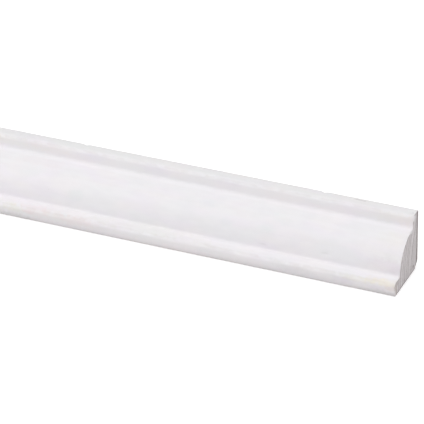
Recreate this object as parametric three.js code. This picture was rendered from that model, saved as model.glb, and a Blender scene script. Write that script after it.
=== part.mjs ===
// Crown moulding length: a softwood quarter round between two square fillets, machined from one
// piece of timber, primed white and sawn square at both ends.
//
// The length lies on the face that meets the ceiling, as it does on a bench. +X runs along the
// length, +Y points at the wall behind it and +Z is up. The origin is on the underside, below the
// middle of the length and of the depth. Sizes are in millimetres.

import * as THREE from "three";

// The length that is cut from the stock moulding.
const LENGTH = 250;

// The section, from the front foot up to the back edge.
const LOWER_FILLET_HEIGHT = 7.9;
const LOWER_FILLET_PROJECTION = 7.6;
const QUARTER_ROUND_RADIUS = 18.9;
const UPPER_FILLET_HEIGHT = 7.2;
const UPPER_FILLET_THICKNESS = 7.5;

// The corner that sits in the angle between wall and ceiling is planed off to clear the plaster.
const BACK_CORNER_CHAMFER = 3.8;

// Eased arrises, and the small hollows that the cutter and the paint leave in the inner corners.
const FOOT_ARRIS_RADIUS = 1.2;
const LOWER_FILLET_ARRIS_RADIUS = 2.4;
const UPPER_FILLET_ARRIS_RADIUS = 2.0;
const BACK_ARRIS_RADIUS = 0.5;
const INNER_CORNER_RADIUS = 1.2;

// Each rounded corner is drawn with twice this many flats.
const CURVE_SEGMENTS = 12;

const PRIMED_WHITE = 0xe9e7e8;
const PRIMER_ROUGHNESS = 0.6;

const QUARTER_TURN = Math.PI / 2;
const HALF_TURN = Math.PI;

const sectionDepth =
  LOWER_FILLET_PROJECTION + QUARTER_ROUND_RADIUS + UPPER_FILLET_THICKNESS;
const sectionHeight =
  LOWER_FILLET_HEIGHT + QUARTER_ROUND_RADIUS + UPPER_FILLET_HEIGHT;

// An outer corner, rounded clockwise from one heading to the next.
function easeArris(section, x, y, radius, from) {
  section.absarc(x, y, radius, from, from - QUARTER_TURN, true);
}

// The section, with x as depth from the front foot and y as height from the underside.
function mouldingSection() {
  const upperFace = LOWER_FILLET_PROJECTION + QUARTER_ROUND_RADIUS;

  // How far round the curve each hollow reaches, and how far its centre lies from the curve's own.
  const reach = Math.asin(
    INNER_CORNER_RADIUS / (QUARTER_ROUND_RADIUS + INNER_CORNER_RADIUS),
  );
  const offset =
    (QUARTER_ROUND_RADIUS + INNER_CORNER_RADIUS) * Math.cos(reach);

  const section = new THREE.Shape();
  section.moveTo(FOOT_ARRIS_RADIUS, 0);

  // The lower fillet, from its foot to its ledge.
  easeArris(
    section,
    FOOT_ARRIS_RADIUS,
    FOOT_ARRIS_RADIUS,
    FOOT_ARRIS_RADIUS,
    -QUARTER_TURN,
  );
  easeArris(
    section,
    LOWER_FILLET_ARRIS_RADIUS,
    LOWER_FILLET_HEIGHT - LOWER_FILLET_ARRIS_RADIUS,
    LOWER_FILLET_ARRIS_RADIUS,
    HALF_TURN,
  );

  // The quarter round, with a hollow running into it at each end.
  section.absarc(
    upperFace - offset,
    LOWER_FILLET_HEIGHT + INNER_CORNER_RADIUS,
    INNER_CORNER_RADIUS,
    -QUARTER_TURN,
    -reach,
    false,
  );
  section.absarc(
    upperFace,
    LOWER_FILLET_HEIGHT,
    QUARTER_ROUND_RADIUS,
    HALF_TURN - reach,
    QUARTER_TURN + reach,
    true,
  );
  section.absarc(
    upperFace - INNER_CORNER_RADIUS,
    LOWER_FILLET_HEIGHT + offset,
    INNER_CORNER_RADIUS,
    reach - QUARTER_TURN,
    0,
    false,
  );

  // The upper fillet, from its face over the top to the wall face.
  easeArris(
    section,
    upperFace + UPPER_FILLET_ARRIS_RADIUS,
    sectionHeight - UPPER_FILLET_ARRIS_RADIUS,
    UPPER_FILLET_ARRIS_RADIUS,
    HALF_TURN,
  );
  easeArris(
    section,
    sectionDepth - BACK_ARRIS_RADIUS,
    sectionHeight - BACK_ARRIS_RADIUS,
    BACK_ARRIS_RADIUS,
    QUARTER_TURN,
  );

  // The wall face, down to the planed corner.
  section.lineTo(sectionDepth, BACK_CORNER_CHAMFER);
  section.lineTo(sectionDepth - BACK_CORNER_CHAMFER, 0);
  section.closePath();
  return section;
}

const primedSoftwood = new THREE.MeshStandardMaterial({
  name: "primed_softwood",
  color: PRIMED_WHITE,
  roughness: PRIMER_ROUGHNESS,
  metalness: 0,
});

const moulding = new THREE.Mesh(
  new THREE.ExtrudeGeometry(mouldingSection(), {
    depth: LENGTH,
    steps: 1,
    curveSegments: CURVE_SEGMENTS,
    bevelEnabled: false,
  }),
  primedSoftwood,
);
moulding.name = "moulding";

// The section is drawn flat and extruded towards +Z, so it is stood up and turned along +X.
moulding.rotation.set(QUARTER_TURN, QUARTER_TURN, 0);
moulding.position.set(-LENGTH / 2, -sectionDepth / 2, 0);

const group = new THREE.Group();
group.name = "crown_moulding_length";
group.add(moulding);

export default group;
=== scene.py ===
import bmesh
import bpy
from math import asin, cos, hypot, pi, radians
from mathutils import Matrix, Vector
from mathutils.bvhtree import BVHTree


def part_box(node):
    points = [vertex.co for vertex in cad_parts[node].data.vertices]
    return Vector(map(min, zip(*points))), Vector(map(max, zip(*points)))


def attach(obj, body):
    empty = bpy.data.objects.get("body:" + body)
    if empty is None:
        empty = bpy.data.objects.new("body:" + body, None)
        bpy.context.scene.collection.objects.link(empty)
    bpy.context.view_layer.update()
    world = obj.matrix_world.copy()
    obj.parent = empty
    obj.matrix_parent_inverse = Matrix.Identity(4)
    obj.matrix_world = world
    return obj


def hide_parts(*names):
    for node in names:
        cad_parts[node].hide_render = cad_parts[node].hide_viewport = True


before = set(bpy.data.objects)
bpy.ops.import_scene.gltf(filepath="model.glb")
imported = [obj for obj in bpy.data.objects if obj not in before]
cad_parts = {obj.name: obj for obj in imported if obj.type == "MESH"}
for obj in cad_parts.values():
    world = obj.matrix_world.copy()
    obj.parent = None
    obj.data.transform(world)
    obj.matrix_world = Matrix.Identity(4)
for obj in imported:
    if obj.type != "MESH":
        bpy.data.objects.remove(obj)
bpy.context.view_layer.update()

# The moulding is one length of softwood run through a moulder: a square fillet at the foot, a
# quarter round and a square fillet at the top, with a flat back and underside. It is primed white
# all round and then sawn square across both ends. Nothing is fixed to it.

low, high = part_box("moulding")
length = high.x - low.x

# The section's sizes, in metres.
lower_fillet_height = 0.0079
lower_fillet_projection = 0.0076
quarter_round_radius = 0.0189
back_corner_chamfer = 0.0038
foot_arris = 0.0012
lower_arris = 0.0024
upper_arris = 0.002
back_arris = 0.0005
hollow = 0.0012


def start_section(y, z):
    bpy.ops.object.select_all(action="DESELECT")
    bpy.ops.mesh.primitive_plane_add(size=0.001, location=(low.x, y, z))
    bpy.ops.object.transform_apply(location=True, rotation=True, scale=True)
    bpy.ops.object.mode_set(mode="EDIT")
    bpy.ops.mesh.select_all(action="SELECT")
    bpy.ops.mesh.merge(type="CENTER")


def pen():
    work = bmesh.from_edit_mesh(bpy.context.object.data)
    return next(v.co.copy() for v in work.verts if v.select)


def draw_flat(y, z, longest=0.0012):
    """A straight run of the section, in stretches no longer than the given one."""
    run = Vector((low.x, y, z)) - pen()
    stretches = max(1, round(run.length / longest))
    for _ in range(stretches):
        bpy.ops.mesh.extrude_vertices_move(
            TRANSFORM_OT_translate={"value": run / stretches}
        )


def draw_round(y, z, turn, steps):
    """A rounded run about a centre, turning from +Y towards +Z where the turn is positive."""
    bpy.ops.mesh.spin(
        steps=steps, angle=turn, center=(low.x, y, z), axis=(-1, 0, 0)
    )


upper_face = low.y + lower_fillet_projection + quarter_round_radius
reach = asin(hollow / (quarter_round_radius + hollow))
offset = (quarter_round_radius + hollow) * cos(reach)

start_section(low.y + foot_arris, low.z)
draw_round(low.y + foot_arris, low.z + foot_arris, -pi / 2, 6)
draw_flat(low.y, low.z + lower_fillet_height - lower_arris)
draw_round(
    low.y + lower_arris, low.z + lower_fillet_height - lower_arris, -pi / 2, 10
)
draw_flat(upper_face - offset, low.z + lower_fillet_height)
draw_round(
    upper_face - offset,
    low.z + lower_fillet_height + hollow,
    pi / 2 - reach,
    8,
)
draw_round(upper_face, low.z + lower_fillet_height, 2 * reach - pi / 2, 40)
draw_round(
    upper_face - hollow, low.z + lower_fillet_height + offset, pi / 2 - reach, 8
)
draw_flat(upper_face, high.z - upper_arris)
draw_round(upper_face + upper_arris, high.z - upper_arris, -pi / 2, 10)
draw_flat(high.y - back_arris, high.z)
draw_round(high.y - back_arris, high.z - back_arris, -pi / 2, 5)
draw_flat(high.y, low.z + back_corner_chamfer, longest=0.002)
draw_flat(high.y - back_corner_chamfer, low.z, longest=0.002)
draw_flat(low.y + foot_arris, low.z, longest=0.002)

bpy.ops.mesh.select_all(action="SELECT")
bpy.ops.mesh.remove_doubles(threshold=0.00001)
bpy.ops.mesh.edge_face_add()
bpy.ops.mesh.extrude_region_move(TRANSFORM_OT_translate={"value": (length, 0, 0)})
bpy.ops.mesh.select_all(action="SELECT")
bpy.ops.mesh.normals_make_consistent(inside=False)

# The plain walls are kept in mind, to find how far a point of an end lies from its outline.
walls = BVHTree.FromBMesh(bmesh.from_edit_mesh(bpy.context.object.data))


def pick(kind, wanted):
    """Select the wanted points, edges or faces in edit mode, and nothing else."""
    bpy.ops.mesh.select_mode(type=kind)
    bpy.ops.mesh.select_all(action="DESELECT")
    work = bmesh.from_edit_mesh(bpy.context.object.data)
    parts = {"VERT": work.verts, "EDGE": work.edges, "FACE": work.faces}[kind]
    for part in parts:
        if wanted(part):
            part.select_set(True)
    bmesh.update_edit_mesh(bpy.context.object.data)


def run_along(edge):
    return abs(edge.verts[0].co.x - edge.verts[1].co.x)


# The sawn arrises are rubbed down a little, and each end is divided finely enough for its rough
# surface.
pick("EDGE", lambda edge: run_along(edge) < 0.001)
bpy.ops.mesh.bevel(offset=0.00022, segments=3, profile=0.5, affect="EDGES")
cell = 0.0006
for count in range(1, int((high.y - low.y) / cell) + 1):
    pick("FACE", lambda face: abs(face.normal.x) > 0.99)
    bpy.ops.mesh.bisect(plane_co=(0, low.y + count * cell, 0), plane_no=(0, 1, 0))
for count in range(1, int((high.z - low.z) / cell) + 1):
    pick("FACE", lambda face: abs(face.normal.x) > 0.99)
    bpy.ops.mesh.bisect(plane_co=(0, 0, low.z + count * cell), plane_no=(0, 0, 1))

# The length is divided into stretches of a centimetre, and those into millimetres.
pick("EDGE", lambda edge: run_along(edge) > 0.1)
bpy.ops.mesh.subdivide(number_cuts=round(length / 0.01) - 1)
pick("EDGE", lambda edge: run_along(edge) > 0.005)
bpy.ops.mesh.subdivide(number_cuts=9)


def press(place, push, reach):
    """Push the surface in or out at a place, with a soft edge round it."""
    pick("VERT", lambda point: False)
    work = bmesh.from_edit_mesh(bpy.context.object.data)
    nearest = min(work.verts, key=lambda point: (point.co - Vector(place)).length)
    nearest.select_set(True)
    bmesh.update_edit_mesh(bpy.context.object.data)
    bpy.ops.transform.translate(
        value=push,
        use_proportional_edit=True,
        proportional_edit_falloff="SMOOTH",
        proportional_size=reach,
    )


# Knocks from handling: a dent low on the quarter round, a nick above the lower hollow, two chips
# in the top back arris, the front corner of the lower fillet bruised at the right-hand end, and
# two small knocks at the left-hand end.
press((high.x - 0.042, -0.0088, 0.0126), (0, 0.0004, -0.0003), reach=0.0025)
press((high.x - 0.0395, -0.0086, 0.0130), (0, 0.0002, -0.00015), reach=0.0020)
press((high.x - 0.077, -0.0091, 0.0106), (0, 0.00015, -0.0001), reach=0.0014)
press((high.x - 0.0525, 0.017, 0.034), (0, -0.0006, -0.0005), reach=0.0013)
press((high.x - 0.191, 0.017, 0.034), (0, -0.0004, -0.0003), reach=0.0016)
press((high.x, low.y, 0.0052), (-0.0003, 0.0003, 0), reach=0.002)
press((low.x, upper_face, high.z), (0.0004, 0.0003, -0.0003), reach=0.0018)
press((high.x - 0.2435, low.y, 0.0066), (0, 0.0004, -0.0003), reach=0.0025)

# The pits where the saw tore fibres out of the right-hand end.
torn = 0.0005
pits = [
    ((high.x, -0.0062, 0.0151), 0.0011),
    ((high.x, 0.0109, 0.0029), 0.0013),
    ((high.x, -0.0026, 0.0021), 0.0009),
    ((high.x, -0.0125, 0.0059), 0.0010),
]
for place, reach in pits:
    press(place, (-torn, 0, 0), reach)
bpy.ops.object.mode_set(mode="OBJECT")

moulding = bpy.context.object
moulding.name = "primed_moulding"
points = moulding.data.vertices


def weigh(name, weight_at):
    """A vertex group with a weight for each point."""
    group = moulding.vertex_groups.new(name=name)
    for point in points:
        weight = weight_at(point.co)
        if weight > 0:
            group.add([point.index], min(weight, 1), "REPLACE")
    return name


def sink(group, lumps, depth):
    """Let the surface fall here and there by up to the depth, never rise."""
    cloud = bpy.data.textures.new(group, type="CLOUDS")
    cloud.noise_scale = lumps
    cloud.noise_depth = 1
    cloud.contrast = 1.8
    cloud.intensity = 0.72
    fall = moulding.modifiers.new(group, "DISPLACE")
    fall.texture = cloud
    fall.texture_coords = "LOCAL"
    fall.direction = "NORMAL"
    fall.mid_level = 1
    fall.strength = depth
    fall.vertex_group = group
    bpy.ops.object.modifier_apply(modifier=fall.name)


def fitted(co):
    """True on the flat wall face, the ceiling face and the planed corner between them."""
    behind = co.y > high.y - 0.0001
    beneath = co.z < low.z + 0.0001
    planed = (co.y - high.y) - co.z > -back_corner_chamfer - 0.0001
    return behind or beneath or planed


def off_end(co):
    return min(co.x - low.x, high.x - co.x)


def clear_of_end(co, stretch):
    """Rises from nothing at the ends to one where the stretch is over."""
    return min(max(off_end(co) - 0.0004, 0) / stretch, 1)


def off_front_arrises(co):
    lower = hypot(co.y - low.y - 0.0007, co.z - low.z - lower_fillet_height + 0.0007)
    upper = hypot(co.y - upper_face - 0.0006, co.z - high.z + 0.0006)
    return min(lower, upper)


# The show faces are never dead flat, the rounded arrises in front are the most uneven, and the
# sawn ends are rough. The faces that meet wall and ceiling are planed true.
sink(
    weigh(
        "show_faces", lambda co: 0 if fitted(co) else clear_of_end(co, 0.004)
    ),
    lumps=0.011,
    depth=0.00016,
)
sink(
    weigh(
        "front_arrises",
        lambda co: clear_of_end(co, 0.008) * (1 - off_front_arrises(co) / 0.0022),
    ),
    lumps=0.0050,
    depth=0.0006,
)
sink(
    weigh("sawn_faces", lambda co: 1 if off_end(co) < 0.0001 else 0),
    lumps=0.0016,
    depth=0.0002,
)
bpy.ops.object.shade_smooth_by_angle(angle=radians(35))


def note(name, value_at):
    """A value kept at each point of the surface, for the finishes to read."""
    kept = moulding.data.attributes.new(name, "FLOAT", "POINT")
    kept.data.foreach_set("value", [value_at(point.co) for point in points])


# The arrises of the section, each with where it lies and how far its wear reaches.
rounded_corners = [
    (low.y + 0.0004, low.z + 0.0004, 0.0012),
    (low.y + 0.0007, low.z + lower_fillet_height - 0.0007, 0.0020),
    (upper_face + 0.0006, high.z - 0.0006, 0.0018),
    (high.y, high.z, 0.0010),
]


def nearness_to_arris(co):
    nearest = max(
        1 - hypot(co.y - y, co.z - z) / reach for y, z, reach in rounded_corners
    )
    return max(nearest, 1 - off_end(co) / 0.0015, 0)


def nearness_to_outline(co):
    """One at the edge of a sawn end, and nothing further in or along the faces."""
    distance = walls.find_nearest(Vector((0, co.y, co.z)))[3]
    return max(1 - distance / 0.0013, 0) if off_end(co) < 0.0006 else 0


def uprightness(co):
    """One on the two upright front faces, clear of the hollow below the upper one."""
    lower = abs(co.y - low.y) < 0.0004 and co.z < low.z + lower_fillet_height
    upper = abs(co.y - upper_face) < 0.0004 and co.z > low.z + 0.0275
    return 1 if lower or upper else 0


note("arris", nearness_to_arris)
note("upright", uprightness)
note("rim", nearness_to_outline)


# The finishes are built from nodes with these.
def feed(tree, value, socket):
    if isinstance(value, bpy.types.NodeSocket):
        tree.links.new(value, socket)
    else:
        socket.default_value = value


def lay(tree, kind, inputs, **settings):
    """A node with its settings, and what feeds it."""
    made = tree.nodes.new("ShaderNode" + kind)
    for key, value in settings.items():
        setattr(made, key, value)
    for key, value in inputs.items():
        feed(tree, value, made.inputs[key])
    return made.outputs


def reckon(tree, operation, *values):
    made = tree.nodes.new("ShaderNodeMath")
    made.operation = operation
    for value, socket in zip(values, made.inputs):
        feed(tree, value, socket)
    return made.outputs["Value"]


def reckon_place(tree, operation, *values):
    made = tree.nodes.new("ShaderNodeVectorMath")
    made.operation = operation
    for value, socket in zip(values, made.inputs):
        feed(tree, value, socket)
    return made.outputs["Value" if operation == "LENGTH" else "Vector"]


def fade(tree, value, start, end, first=0, last=1):
    """Turn softly from the first number to the last as the value goes from start to end."""
    return lay(
        tree,
        "MapRange",
        {
            "Value": value,
            "From Min": start,
            "From Max": end,
            "To Min": first,
            "To Max": last,
        },
        interpolation_type="SMOOTHSTEP",
    )["Result"]


def blend(tree, share, under, over, how="MIX"):
    """One colour laid over another, mixed or multiplied, by its share."""
    made = tree.nodes.new("ShaderNodeMix")
    made.data_type = "RGBA"
    made.blend_type = how
    for value, socket in zip(
        (share, under, over), (made.inputs[0], made.inputs[6], made.inputs[7])
    ):
        feed(tree, value, socket)
    return made.outputs[2]


def start_group(name, takes, gives):
    """A node group with its named inputs and outputs."""
    group = bpy.data.node_groups.new(name, "ShaderNodeTree")
    for label, kind in takes.items():
        group.interface.new_socket(
            name=label, in_out="INPUT", socket_type="NodeSocket" + kind
        )
    for label in gives:
        group.interface.new_socket(
            name=label, in_out="OUTPUT", socket_type="NodeSocketFloat"
        )
    taken = group.nodes.new("NodeGroupInput").outputs
    given = group.nodes.new("NodeGroupOutput").inputs
    return group, taken, given


def use(tree, group, **inputs):
    made = tree.nodes.new("ShaderNodeGroup")
    made.node_tree = group
    for key, value in inputs.items():
        feed(tree, value, made.inputs[key])
    return made.outputs


# Growth rings run through the whole timber, round a pith that lies behind the wall face, so they
# show as arcs on the ends and as long figure on the faces. The dense late wood ends each ring.
growth_rings, taken, given = start_group(
    "growth_rings",
    {"Place": "Vector", "Spacing": "Float", "Sway": "Float"},
    ["Latewood", "Fibre"],
)
pith = (0, 0.085, -0.004)
from_pith = reckon_place(growth_rings, "SUBTRACT", taken["Place"], pith)
across = reckon_place(growth_rings, "MULTIPLY", from_pith, (0, 1, 1))
radius = reckon_place(growth_rings, "LENGTH", across)
slow = reckon_place(growth_rings, "MULTIPLY", taken["Place"], (6, 45, 45))
drift = lay(growth_rings, "TexNoise", {"Vector": slow, "Scale": 1, "Detail": 2})["Fac"]
swayed = reckon(
    growth_rings,
    "MULTIPLY_ADD",
    reckon(growth_rings, "SUBTRACT", drift, 0.5),
    taken["Sway"],
    radius,
)
years = reckon(growth_rings, "DIVIDE", swayed, taken["Spacing"])
weather = lay(
    growth_rings,
    "TexNoise",
    {"W": years, "Scale": 0.6, "Detail": 0},
    noise_dimensions="1D",
)["Fac"]
year = reckon(
    growth_rings, "FRACT", reckon(growth_rings, "MULTIPLY_ADD", weather, 1.1, years)
)
feed(
    growth_rings,
    reckon(
        growth_rings,
        "MULTIPLY",
        fade(growth_rings, year, 0.4, 0.93),
        fade(growth_rings, year, 1.0, 0.95),
    ),
    given["Latewood"],
)
thread = reckon_place(growth_rings, "MULTIPLY", taken["Place"], (50, 1700, 1700))
feed(
    growth_rings,
    lay(growth_rings, "TexNoise", {"Vector": thread, "Scale": 1, "Detail": 3})["Fac"],
    given["Fibre"],
)

# The moulder's knives leave shallow scallops across the faces, one for each turn of the block.
cutter_marks, taken, given = start_group(
    "cutter_marks", {"Place": "Vector", "Pitch": "Float"}, ["Ripple"]
)
along = lay(cutter_marks, "SeparateXYZ", {"Vector": taken["Place"]})["X"]
hunt = lay(
    cutter_marks, "TexNoise", {"Vector": taken["Place"], "Scale": 14, "Detail": 1}
)["Fac"]
turns = reckon(
    cutter_marks,
    "DIVIDE",
    reckon(cutter_marks, "MULTIPLY_ADD", hunt, 0.004, along),
    taken["Pitch"],
)
part_turn = reckon(
    cutter_marks, "SUBTRACT", reckon(cutter_marks, "FRACT", turns), 0.5
)
feed(
    cutter_marks,
    reckon(
        cutter_marks,
        "MULTIPLY",
        reckon(cutter_marks, "MULTIPLY", part_turn, part_turn),
        4,
    ),
    given["Ripple"],
)

# Soft patches, longer along the timber than across it, where the coat is thicker or thinner.
soft_patches, taken, given = start_group(
    "soft_patches",
    {"Place": "Vector", "Along": "Float", "Across": "Float", "Shift": "Float"},
    ["Patch"],
)
size = lay(
    soft_patches,
    "CombineXYZ",
    {"X": taken["Along"], "Y": taken["Across"], "Z": taken["Across"]},
)["Vector"]
scaled = reckon_place(soft_patches, "DIVIDE", taken["Place"], size)
moved = reckon_place(soft_patches, "ADD", scaled, taken["Shift"])
cloudy = lay(soft_patches, "TexNoise", {"Vector": moved, "Scale": 1, "Detail": 1.5})[
    "Fac"
]
feed(soft_patches, fade(soft_patches, cloudy, 0.36, 0.64), given["Patch"])

# A single stain or mark, at a place of its own and with a ragged edge.
spot_stain, taken, given = start_group(
    "spot_stain",
    {"Place": "Vector", "Centre": "Vector", "Reach": "Vector", "Ragged": "Float"},
    ["Mask"],
)
away = reckon_place(spot_stain, "SUBTRACT", taken["Place"], taken["Centre"])
rounds = reckon_place(
    spot_stain, "LENGTH", reckon_place(spot_stain, "DIVIDE", away, taken["Reach"])
)
edge = lay(
    spot_stain, "TexNoise", {"Vector": taken["Place"], "Scale": 420, "Detail": 2}
)["Fac"]
ragged = reckon(
    spot_stain,
    "MULTIPLY_ADD",
    reckon(spot_stain, "SUBTRACT", edge, 0.5),
    taken["Ragged"],
    rounds,
)
feed(spot_stain, fade(spot_stain, ragged, 1.0, 0.3), given["Mask"])

# Nibs of dust caught in the coat, and flecks, each in a cell of its own and only in some cells.
specks, taken, given = start_group(
    "specks", {"Place": "Vector", "Size": "Float", "Share": "Float"}, ["Speck"]
)
cell_scale = reckon(specks, "DIVIDE", 0.16, taken["Size"])
cells = lay(specks, "TexVoronoi", {"Vector": taken["Place"], "Scale": cell_scale})
chance = lay(specks, "SeparateColor", {"Color": cells["Color"]})["Red"]
chosen = reckon(specks, "LESS_THAN", chance, taken["Share"])
feed(
    specks,
    reckon(
        specks, "MULTIPLY", fade(specks, cells["Distance"], 0.17, 0.02), chosen
    ),
    given["Speck"],
)


# Where this length lay in the stock that it was sawn from, which decides the figure and the patches
# that it shows.
sawn_from = (0.025, 0, 0)


def start_finish(name):
    """A material with its shader, and where each point lies on the moulding and in its stock."""
    made = bpy.data.materials.new(name)
    made.use_nodes = True
    moulding.data.materials.append(made)
    tree = made.node_tree
    place = lay(tree, "TexCoord", {})["Object"]
    in_stock = reckon_place(tree, "ADD", place, sawn_from)
    return tree, tree.nodes["Principled BSDF"], place, in_stock


def raise_surface(tree, shader, *heights):
    """Bump from heights in metres, added up."""
    total = heights[0]
    for height in heights[1:]:
        total = reckon(tree, "ADD", total, height)
    bump = lay(tree, "Bump", {"Height": total, "Strength": 1, "Distance": 1})
    feed(tree, bump["Normal"], shader.inputs["Normal"])


# The primer on the show faces is a matt white with a cold, faintly mauve cast, in patches of
# three whites. The grain stands up a little under it.
tree, shader, place, in_stock = start_finish("primer")
wood = use(tree, growth_rings, Place=in_stock, Spacing=0.003, Sway=0.004)
ripple = use(tree, cutter_marks, Place=in_stock, Pitch=0.0016)["Ripple"]
broad = use(tree, soft_patches, Place=in_stock, Along=0.022, Across=0.008, Shift=0.0)
small = use(tree, soft_patches, Place=in_stock, Along=0.009, Across=0.004, Shift=7.3)
worn = use(tree, soft_patches, Place=in_stock, Along=0.005, Across=0.003, Shift=9.1)
third = use(tree, soft_patches, Place=in_stock, Along=0.022, Across=0.011, Shift=3.1)
arris = lay(tree, "Attribute", {}, attribute_name="arris")["Fac"]
nibs = use(tree, specks, Place=in_stock, Size=0.00035, Share=0.05)["Speck"]
flecks = use(tree, specks, Place=in_stock, Size=0.0005, Share=0.012)["Speck"]
at = lay(tree, "SeparateXYZ", {"Vector": place})
upright = lay(tree, "Attribute", {}, attribute_name="upright")["Fac"]

mauve_white = (0.857, 0.826, 0.868, 1)
warm_white = (0.866, 0.840, 0.857, 1)
cool_white = (0.844, 0.840, 0.857, 1)
colour = blend(tree, broad["Patch"], mauve_white, warm_white)
colour = blend(
    tree, reckon(tree, "MULTIPLY", third["Patch"], 0.75), colour, cool_white
)
colour = blend(
    tree,
    small["Patch"],
    colour,
    (0.983, 0.983, 0.985, 1),
    "MULTIPLY",
)

# On the upright faces the coat has run thin and the timber warms it in places, and those faces are
# painted a little lighter as well, as painted light. Along the late wood the coat has run thin too,
# and the timber warms it. The arrises are rubbed.
colour = blend(
    tree,
    reckon(
        tree, "MULTIPLY", upright, fade(tree, small["Patch"], 0, 1, 0.25, 1)
    ),
    colour,
    (1.025, 1.016, 1.011, 1),
    "MULTIPLY",
)
colour = blend(
    tree,
    reckon(tree, "MULTIPLY", wood["Latewood"], 0.35),
    colour,
    (0.985, 0.978, 0.972, 1),
    "MULTIPLY",
)
colour = blend(
    tree,
    reckon(
        tree,
        "MULTIPLY",
        fade(tree, arris, 0.2, 1),
        fade(tree, worn["Patch"], 0, 1, 0.2, 1),
    ),
    colour,
    (0.935, 0.923, 0.912, 1),
    "MULTIPLY",
)

# Stains, scuffs and uneven patches in the coat, and stretches where the painted shade along the
# foot
# is made darker or lighter: the tint that each kind gives the white, and for each one its distance
# from the right-hand end, its depth and height there, and its reach.
stains = {
    "yellowed": (
        (1.000, 0.973, 0.875, 1),
        [((0.0075, -0.0160, 0.0072), (0.0135, 0.0034, 0.0026))],
    ),
    "scuffed brown": (
        (0.965, 0.935, 0.905, 1),
        [((0.0025, -0.0170, 0.0044), (0.0040, 0.0022, 0.0020))],
    ),
    "olive": (
        (0.988, 0.992, 0.940, 1),
        [
            ((0.0210, -0.0167, 0.0062), (0.0120, 0.0032, 0.0022)),
            ((0.2210, -0.0168, 0.0060), (0.0080, 0.0040, 0.0030)),
        ],
    ),
    "rosy": (
        (1.001, 0.962, 0.969, 1),
        [
            ((0.2085, -0.0159, 0.0070), (0.0120, 0.0055, 0.0040)),
            ((0.2110, -0.0170, 0.0050), (0.0045, 0.0020, 0.0022)),
            ((0.1825, -0.0168, 0.0058), (0.0150, 0.0040, 0.0034)),
        ],
    ),
    "faintly rosy": (
        (1.002, 0.985, 0.982, 1),
        [
            ((0.2020, -0.0135, 0.0080), (0.0240, 0.0060, 0.0022)),
            ((0.1975, -0.0162, 0.0066), (0.0090, 0.0045, 0.0034)),
            ((0.2120, 0.0030, 0.0258), (0.0200, 0.0055, 0.0040)),
            ((0.2100, 0.0095, 0.0310), (0.0160, 0.0030, 0.0045)),
            ((0.0030, 0.0095, 0.0305), (0.0070, 0.0030, 0.0045)),
        ],
    ),
    "mauve": (
        (0.968, 0.952, 0.980, 1),
        [
            ((0.0105, -0.0170, 0.0036), (0.0060, 0.0022, 0.0018)),
            ((0.0285, -0.0170, 0.0040), (0.0070, 0.0030, 0.0028)),
        ],
    ),
    "faintly mauve": (
        (0.983, 0.966, 0.974, 1),
        [
            ((0.0070, -0.0090, 0.0125), (0.0180, 0.0045, 0.0050)),
            ((0.0025, -0.0093, 0.0105), (0.0050, 0.0025, 0.0045)),
        ],
    ),
    "lavender": (
        (0.985, 0.985, 1.002, 1),
        [
            ((0.1030, 0.0095, 0.0310), (0.0100, 0.0030, 0.0045)),
            ((0.1470, 0.0095, 0.0310), (0.0120, 0.0030, 0.0045)),
            ((0.1870, 0.0095, 0.0310), (0.0120, 0.0030, 0.0045)),
        ],
    ),
    "cool": (
        (0.978, 0.996, 0.990, 1),
        [
            ((0.0690, -0.0011, 0.0236), (0.0070, 0.0050, 0.0045)),
            ((0.0750, -0.0056, 0.0192), (0.0060, 0.0040, 0.0040)),
            ((0.0985, -0.0067, 0.0177), (0.0050, 0.0030, 0.0040)),
            ((0.1120, -0.0013, 0.0234), (0.0070, 0.0050, 0.0045)),
            ((0.1875, -0.0075, 0.0162), (0.0070, 0.0030, 0.0045)),
        ],
    ),
    "cream": (
        (0.996, 0.994, 0.972, 1),
        [
            ((0.0080, 0.0000, 0.0235), (0.0100, 0.0070, 0.0065)),
            ((0.0100, 0.0095, 0.0310), (0.0240, 0.0030, 0.0045)),
            ((0.1080, -0.0165, 0.0072), (0.0090, 0.0030, 0.0018)),
            ((0.2260, -0.0135, 0.0080), (0.0120, 0.0060, 0.0022)),
            ((0.2450, 0.0095, 0.0310), (0.0450, 0.0030, 0.0045)),
        ],
    ),
    "dull cream": (
        (0.974, 0.978, 0.956, 1),
        [
            ((0.1440, -0.0135, 0.0080), (0.0450, 0.0060, 0.0022)),
            ((0.1950, -0.0170, 0.0050), (0.0550, 0.0030, 0.0042)),
        ],
    ),
    "grey": (
        (0.950, 0.950, 0.945, 1),
        [
            ((0.0570, -0.0170, 0.0046), (0.0150, 0.0030, 0.0034)),
            ((0.0415, -0.0088, 0.0126), (0.0044, 0.0014, 0.0010)),
            ((0.0770, -0.0091, 0.0106), (0.0028, 0.0010, 0.0009)),
        ],
    ),
    "faintly grey": (
        (0.978, 0.984, 0.980, 1),
        [
            ((0.0380, -0.0170, 0.0040), (0.0220, 0.0030, 0.0040)),
            ((0.0050, -0.0068, 0.0172), (0.0080, 0.0032, 0.0037)),
        ],
    ),
    # These make the painted shade at the foot darker near both ends.
    "more foot shade": (
        (0.915, 0.910, 0.906, 1),
        [
            ((0.2220, -0.0170, 0.0010), (0.0180, 0.0030, 0.0028)),
            ((0.0050, -0.0170, 0.0010), (0.0180, 0.0030, 0.0026)),
        ],
    ),
    "worn to the wood": (
        (0.820, 0.810, 0.815, 1),
        [
            ((0.0015, 0.0128, 0.0340), (0.0007, 0.0006, 0.0010)),
            ((0.0320, 0.0154, 0.0340), (0.0050, 0.0008, 0.0010)),
        ],
    ),
    # The first makes the painted shade along the middle of the foot lighter; the second is a small
    # lighter spot on the top back arris by a chip.
    "lighter": (
        (1.035, 1.028, 1.028, 1),
        [
            ((0.1300, -0.0170, 0.0014), (0.0500, 0.0030, 0.0030)),
            ((0.0520, 0.0162, 0.0340), (0.0010, 0.0014, 0.0010)),
        ],
    ),
}
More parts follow.
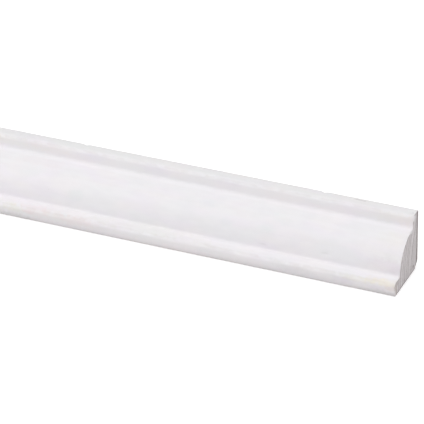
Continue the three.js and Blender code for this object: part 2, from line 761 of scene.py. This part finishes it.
for tint, places in stains.values():
    for (off_right_end, y, z), reach_round in places:
        mask = use(
            tree,
            spot_stain,
            Place=place,
            Centre=(high.x - off_right_end, y, z),
            Reach=reach_round,
            Ragged=1.2,
        )["Mask"]
        colour = blend(tree, mask, colour, tint, "MULTIPLY")

# The top is a more neutral white. Painted shade lies along the foot, darkest on its arris where it
# rests on the floor, and is broken up by the grain. Dust nibs and flecks are all over.
# The top is also painted a little darker here, as painted shade.
colour = blend(
    tree,
    fade(tree, at["Z"], 0.0334, 0.0339),
    colour,
    (0.972, 0.983, 0.966, 1),
    "MULTIPLY",
)
foot = fade(tree, at["Z"], 0.0085, 0.0006)
grainy_foot_shade = reckon(tree, "MULTIPLY", foot, fade(tree, wood["Fibre"], 0.3, 0.7, 0.75, 1))
colour = blend(
    tree,
    reckon(tree, "MULTIPLY", grainy_foot_shade, foot),
    colour,
    (0.908, 0.902, 0.901, 1),
    "MULTIPLY",
)
# A narrower band of painted shade at the very foot, where it meets the floor.
colour = blend(
    tree,
    fade(tree, at["Z"], 0.0031, 0.0009),
    colour,
    (0.900, 0.894, 0.892, 1),
    "MULTIPLY",
)
colour = blend(
    tree,
    reckon(tree, "MULTIPLY", flecks, 0.3),
    colour,
    (0.80, 0.78, 0.75, 1),
    "MULTIPLY",
)
feed(tree, colour, shader.inputs["Base Color"])
feed(
    tree,
    reckon(
        tree,
        "ADD",
        fade(tree, small["Patch"], 0, 1, 0.54, 0.62),
        reckon(tree, "MULTIPLY", wood["Fibre"], 0.12),
    ),
    shader.inputs["Roughness"],
)
peel = lay(tree, "TexNoise", {"Vector": place, "Scale": 900, "Detail": 2})["Fac"]
raise_surface(
    tree,
    shader,
    reckon(tree, "MULTIPLY", ripple, 0.000005),
    reckon(tree, "MULTIPLY", wood["Fibre"], 0.000022),
    reckon(tree, "MULTIPLY", wood["Latewood"], 0.000012),
    reckon(tree, "MULTIPLY", peel, 0.000016),
    reckon(tree, "MULTIPLY", nibs, 0.00002),
)

# The sawn ends have drunk the primer and show grey, with the rings dark across them, the fine
# curved strokes of the saw and a darker edge all round.
tree, shader, place, in_stock = start_finish("sawn_end")
wood = use(tree, growth_rings, Place=in_stock, Spacing=0.003, Sway=0.0014)
blot = use(tree, soft_patches, Place=in_stock, Along=0.006, Across=0.004, Shift=1.7)
rim = lay(tree, "Attribute", {}, attribute_name="rim")["Fac"]
pores = use(tree, specks, Place=in_stock, Size=0.00020, Share=0.45)["Speck"]
blade_centre = (0, 0.06, 0.115)
to_blade = reckon_place(tree, "SUBTRACT", place, blade_centre)
stroke_radius = reckon_place(
    tree, "LENGTH", reckon_place(tree, "MULTIPLY", to_blade, (0, 1, 1))
)
strokes = lay(
    tree,
    "TexNoise",
    {"W": stroke_radius, "Scale": 1300, "Detail": 2},
    noise_dimensions="1D",
)["Fac"]

early_wood = (0.730, 0.690, 0.698, 1)
late_wood = (0.480, 0.440, 0.445, 1)
colour = blend(
    tree, reckon(tree, "MULTIPLY", wood["Latewood"], 0.78), early_wood, late_wood
)
colour = blend(
    tree, fade(tree, wood["Fibre"], 0.35, 0.7), colour, (0.93, 0.925, 0.925, 1), "MULTIPLY"
)
colour = blend(
    tree,
    fade(tree, strokes, 0.35, 0.65, 0, 0.4),
    colour,
    (0.93, 0.93, 0.935, 1),
    "MULTIPLY",
)
colour = blend(
    tree,
    reckon(tree, "MULTIPLY", blot["Patch"], 0.5),
    colour,
    (0.95, 0.94, 0.93, 1),
    "MULTIPLY",
)
colour = blend(
    tree,
    reckon(tree, "MULTIPLY", pores, 0.7),
    colour,
    (0.72, 0.69, 0.68, 1),
    "MULTIPLY",
)
colour = blend(
    tree, fade(tree, rim, 0, 0.7), colour, (0.74, 0.72, 0.72, 1), "MULTIPLY"
)

# The strip beside the wall face is the darkest, the pits are dark too, and the front corner of
# the lower fillet is scuffed brown.
behind = fade(tree, lay(tree, "SeparateXYZ", {"Vector": place})["Y"], 0.0141, 0.0153)
colour = blend(tree, behind, colour, (0.64, 0.62, 0.62, 1), "MULTIPLY")
end_marks = [
    ((high.x, -0.0062, 0.0151), (0.004, 0.0009, 0.0016), (0.72, 0.70, 0.70, 1)),
    ((high.x, 0.0109, 0.0029), (0.004, 0.0014, 0.0014), (0.68, 0.65, 0.65, 1)),
    ((high.x, -0.0026, 0.0021), (0.004, 0.0012, 0.0012), (0.75, 0.72, 0.72, 1)),
    ((high.x, -0.0125, 0.0059), (0.004, 0.0014, 0.0012), (0.80, 0.76, 0.73, 1)),
    ((high.x, -0.0150, 0.0035), (0.004, 0.0024, 0.0045), (0.97, 0.93, 0.88, 1)),
]
for centre, reach_round, tint in end_marks:
    mask = use(
        tree, spot_stain, Place=place, Centre=centre, Reach=reach_round, Ragged=0.8
    )["Mask"]
    colour = blend(tree, mask, colour, tint, "MULTIPLY")

# Primer has run over the arris at the upper hollow and fillet, and dried in streaks lower down.
run_primer = (0.86, 0.84, 0.86, 1)
smears = [
    ((high.x, 0.0070, 0.0266), (0.004, 0.0042, 0.0024), 1.0),
    ((high.x, 0.0106, 0.0320), (0.004, 0.0026, 0.0024), 1.0),
    ((high.x, 0.0085, 0.0213), (0.004, 0.0007, 0.0030), 0.7),
    ((high.x, 0.0132, 0.0187), (0.004, 0.0007, 0.0034), 0.7),
    ((high.x, -0.0064, 0.0024), (0.004, 0.0012, 0.0010), 0.5),
    ((high.x, -0.0167, 0.0020), (0.004, 0.0017, 0.0034), 0.6),
]
for centre, reach_round, cover in smears:
    mask = use(
        tree, spot_stain, Place=place, Centre=centre, Reach=reach_round, Ragged=0.8
    )["Mask"]
    colour = blend(tree, reckon(tree, "MULTIPLY", mask, cover), colour, run_primer)
feed(tree, colour, shader.inputs["Base Color"])
feed(
    tree,
    fade(tree, wood["Fibre"], 0.3, 0.7, 0.74, 0.88),
    shader.inputs["Roughness"],
)
raise_surface(
    tree,
    shader,
    reckon(tree, "MULTIPLY", strokes, 0.00006),
    reckon(tree, "MULTIPLY", wood["Fibre"], 0.00010),
    reckon(tree, "MULTIPLY", wood["Latewood"], 0.00008),
    reckon(tree, "MULTIPLY", pores, -0.00005),
)

# The faces that nobody sees got one thin coat. The figure of the timber shows through it, with
# the ripple of a faster cut.
tree, shader, _, in_stock = start_finish("back_coat")
wood = use(tree, growth_rings, Place=in_stock, Spacing=0.003, Sway=0.006)
ripple = use(tree, cutter_marks, Place=in_stock, Pitch=0.0026)["Ripple"]
broad = use(tree, soft_patches, Place=in_stock, Along=0.030, Across=0.010, Shift=5.2)
nibs = use(tree, specks, Place=in_stock, Size=0.0005, Share=0.08)["Speck"]
shows = reckon(
    tree,
    "MULTIPLY",
    reckon(
        tree,
        "MULTIPLY_ADD",
        wood["Latewood"],
        0.6,
        fade(tree, wood["Fibre"], 0.4, 0.75, 0, 0.25),
    ),
    fade(tree, broad["Patch"], 0, 1, 0.5, 1),
)
thin_coat = (0.805, 0.785, 0.780, 1)
bare_timber = (0.700, 0.640, 0.575, 1)
colour = blend(tree, shows, thin_coat, bare_timber)
colour = blend(
    tree,
    reckon(tree, "MULTIPLY", nibs, 0.5),
    colour,
    (0.80, 0.77, 0.73, 1),
    "MULTIPLY",
)
feed(tree, colour, shader.inputs["Base Color"])
feed(
    tree, fade(tree, wood["Fibre"], 0.3, 0.7, 0.66, 0.80), shader.inputs["Roughness"]
)
raise_surface(
    tree,
    shader,
    reckon(tree, "MULTIPLY", ripple, 0.000010),
    reckon(tree, "MULTIPLY", wood["Fibre"], 0.00006),
    reckon(tree, "MULTIPLY", wood["Latewood"], 0.00005),
)

show, end_grain, hidden = 0, 1, 2
for face in moulding.data.polygons:
    if abs(face.normal.x) > 0.8:
        face.material_index = end_grain
    elif face.normal.y > 0.6 or face.normal.z < -0.6:
        face.material_index = hidden
    else:
        face.material_index = show

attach(moulding, "root")
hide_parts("moulding")

# The camera has a long lens, is round to the right and looks down on the end of the moulding.
round_to_right = radians(24.10)
above = radians(30.40)
tipped = radians(-1.21)
standing_off = 1.501
left_of_corner = 0.09432
over_corner = 0.04415

turned = (
    Matrix.Rotation(round_to_right, 4, "Z")
    @ Matrix.Rotation(pi / 2 - above, 4, "X")
    @ Matrix.Rotation(tipped, 4, "Z")
)
foot_corner = Vector((high.x, low.y, low.z))
bpy.ops.object.camera_add()
camera = bpy.context.object
camera.data.lens = 247
camera.data.sensor_width = 36
camera.matrix_world = (
    Matrix.Translation(foot_corner)
    @ turned
    @ Matrix.Translation((-left_of_corner, over_corner, standing_off))
)
bpy.context.scene.camera = camera

# The floor is a plain pale board, much larger than the moulding. The camera sees it a little
# brighter than it is, as a white ground that is lit on its own.
bpy.ops.mesh.primitive_plane_add(size=12, location=(0, 0, low.z))
bpy.ops.object.transform_apply(location=True, rotation=True, scale=True)
floor = bpy.context.object
floor.name = "floor"
board = bpy.data.materials.new("pale_board")
board.use_nodes = True
nodes, links = board.node_tree.nodes, board.node_tree.links
paper = nodes["Principled BSDF"]
paper.inputs["Base Color"].default_value = (0.8, 0.8, 0.8, 1)
paper.inputs["Roughness"].default_value = 0.9
paper.inputs["Emission Color"].default_value = (1, 1, 1, 1)
ray = nodes.new("ShaderNodeLightPath")
ground_light = nodes.new("ShaderNodeMath")
ground_light.operation = "MULTIPLY"
ground_light.inputs[1].default_value = 0.45
links.new(ray.outputs["Is Camera Ray"], ground_light.inputs[0])
links.new(ground_light.outputs["Value"], paper.inputs["Emission Strength"])
floor.data.materials.append(board)

# Soft boxes stand round and over the moulding, the strongest in front of it on the left and the
# next above it.


def soft_box(name, place, across, watts):
    aim = Vector((0, 0, 0)) - Vector(place)
    bpy.ops.object.light_add(
        type="AREA", location=place, rotation=aim.to_track_quat("-Z", "Y").to_euler()
    )
    lamp = bpy.context.object
    lamp.name = name
    lamp.data.size = across
    lamp.data.energy = watts


soft_box("box_over", (0, 0, 2.0), 1.5, 15.1)
soft_box("box_front_left", (-1.5, -1.5, 1.2), 1.2, 21.9)
soft_box("box_front_right", (1.5, -1.5, 1.2), 1.2, 5.2)
soft_box("box_right", (2.0, 0, 0.8), 1.2, 8.3)
soft_box("box_behind", (0, 2.0, 1.2), 1.2, 5.7)

world = bpy.context.scene.world or bpy.data.worlds.new("studio")
bpy.context.scene.world = world
world.use_nodes = True
sky = world.node_tree.nodes["Background"]
sky.inputs["Color"].default_value = (1, 1, 1, 1)
sky.inputs["Strength"].default_value = 0.333

bpy.context.scene.view_settings.view_transform = "Standard"
